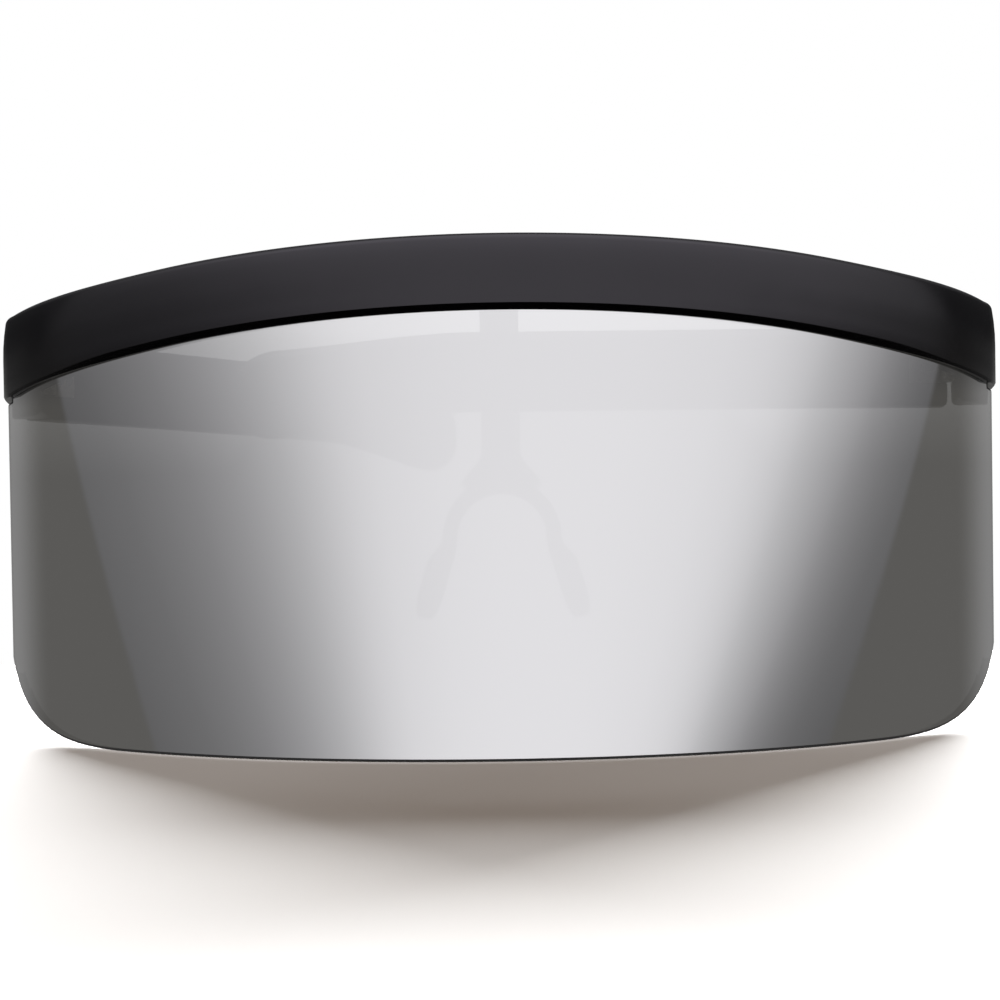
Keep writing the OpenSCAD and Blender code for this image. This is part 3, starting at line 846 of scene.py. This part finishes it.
walled = add_node(tree, "ShaderNodeMix", {
    "Factor": back_wall.outputs["Result"], "A": winged.outputs["Result"], "B": colour("#8A8A88")},
    data_type="RGBA")

# Above level the wings and the wall are darker, where the bar's ends mirror
# them. The overhead light fades away from the front, and the ground is dark.
overhead_light = (1.6, 1.6, 1.62, 1)
overhead = add_node(tree, "ShaderNodeMapRange", {
    "Value": rise.outputs[0], "From Min": 4.0, "From Max": 50.0}, interpolation_type="SMOOTHSTEP")
ahead = add_node(tree, "ShaderNodeMapRange", {
    "Value": side_turn.outputs[0], "From Min": 50.0, "From Max": 115.0, "To Min": 1.0, "To Max": 0.2})
overhead = add_node(tree, "ShaderNodeMath", {
    0: overhead.outputs["Result"], 1: ahead.outputs["Result"]}, operation="MULTIPLY")
high_wing = add_node(tree, "ShaderNodeMapRange", {
    "Value": rise.outputs[0], "From Min": -0.5, "From Max": 0.3})
high_wing = add_node(tree, "ShaderNodeMath", {
    0: high_wing.outputs["Result"], 1: past_wing.outputs["Result"]}, operation="MULTIPLY")
walled = add_node(tree, "ShaderNodeMix", {
    "Factor": high_wing.outputs[0], "A": walled.outputs["Result"], "B": colour("#424243")},
    data_type="RGBA")
lidded = add_node(tree, "ShaderNodeMix", {
    "Factor": overhead.outputs[0], "A": walled.outputs["Result"], "B": overhead_light},
    data_type="RGBA")
underneath = add_node(tree, "ShaderNodeMapRange", {
    "Value": rise.outputs[0], "From Min": -16.0, "From Max": -38.0, "To Min": 1.0, "To Max": 0.08})
mirrored = add_node(tree, "ShaderNodeMix", {
    "Factor": 1.0, "A": lidded.outputs["Result"], "B": underneath.outputs["Result"]},
    data_type="RGBA", blend_type="MULTIPLY")

# Each kind of ray gets its own studio. Through the lens the white back fades
# to grey below the temples, and sooner in the middle than at the sides: a
# painted shadow of the bar and lens on what is behind them. Matt faces get
# next to nothing from it, because the lamps light them.
matt_light = 0.003
path = add_node(tree, "ShaderNodeLightPath")
through = add_node(tree, "ShaderNodeMath", {
    0: path.outputs["Transparent Depth"], 1: 0.5}, operation="GREATER_THAN")
around = add_node(tree, "ShaderNodeMath", {0: 180.0, 1: side_turn.outputs[0]}, operation="SUBTRACT")
# Below this rise the painted shadow behind the lens is full grey, and it fades out up to 0.6 degrees.
foot = add_node(tree, "ShaderNodeMapRange", {
    "Value": around.outputs[0], "From Min": 3.2, "From Max": 4.4, "To Min": -0.2, "To Max": -1.7})
shade = add_node(tree, "ShaderNodeMapRange", {
    "Value": rise.outputs[0], "From Min": foot.outputs["Result"], "From Max": 0.6,
    "To Min": 0.3, "To Max": 0.93})
seen = add_node(tree, "ShaderNodeMix", {
    "Factor": through.outputs[0], "A": 1.0, "B": shade.outputs["Result"]})
direct = add_node(tree, "ShaderNodeMath", {
    0: path.outputs["Is Camera Ray"], 1: path.outputs["Is Transmission Ray"]}, operation="MAXIMUM")
plain = add_node(tree, "ShaderNodeMix", {
    "Factor": direct.outputs[0], "A": matt_light, "B": seen.outputs["Result"]})
polished = add_node(tree, "ShaderNodeMath", {
    0: path.outputs["Is Glossy Ray"], 1: path.outputs["Diffuse Depth"]}, operation="GREATER_THAN")
studio = add_node(tree, "ShaderNodeMix", {
    "Factor": polished.outputs[0], "A": plain.outputs["Result"], "B": mirrored.outputs["Result"]},
    data_type="RGBA")
light = add_node(tree, "ShaderNodeBackground", {"Color": studio.outputs["Result"], "Strength": 1.0})
add_node(tree, "ShaderNodeOutputWorld", {"Surface": light.outputs[0]})

low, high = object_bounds()
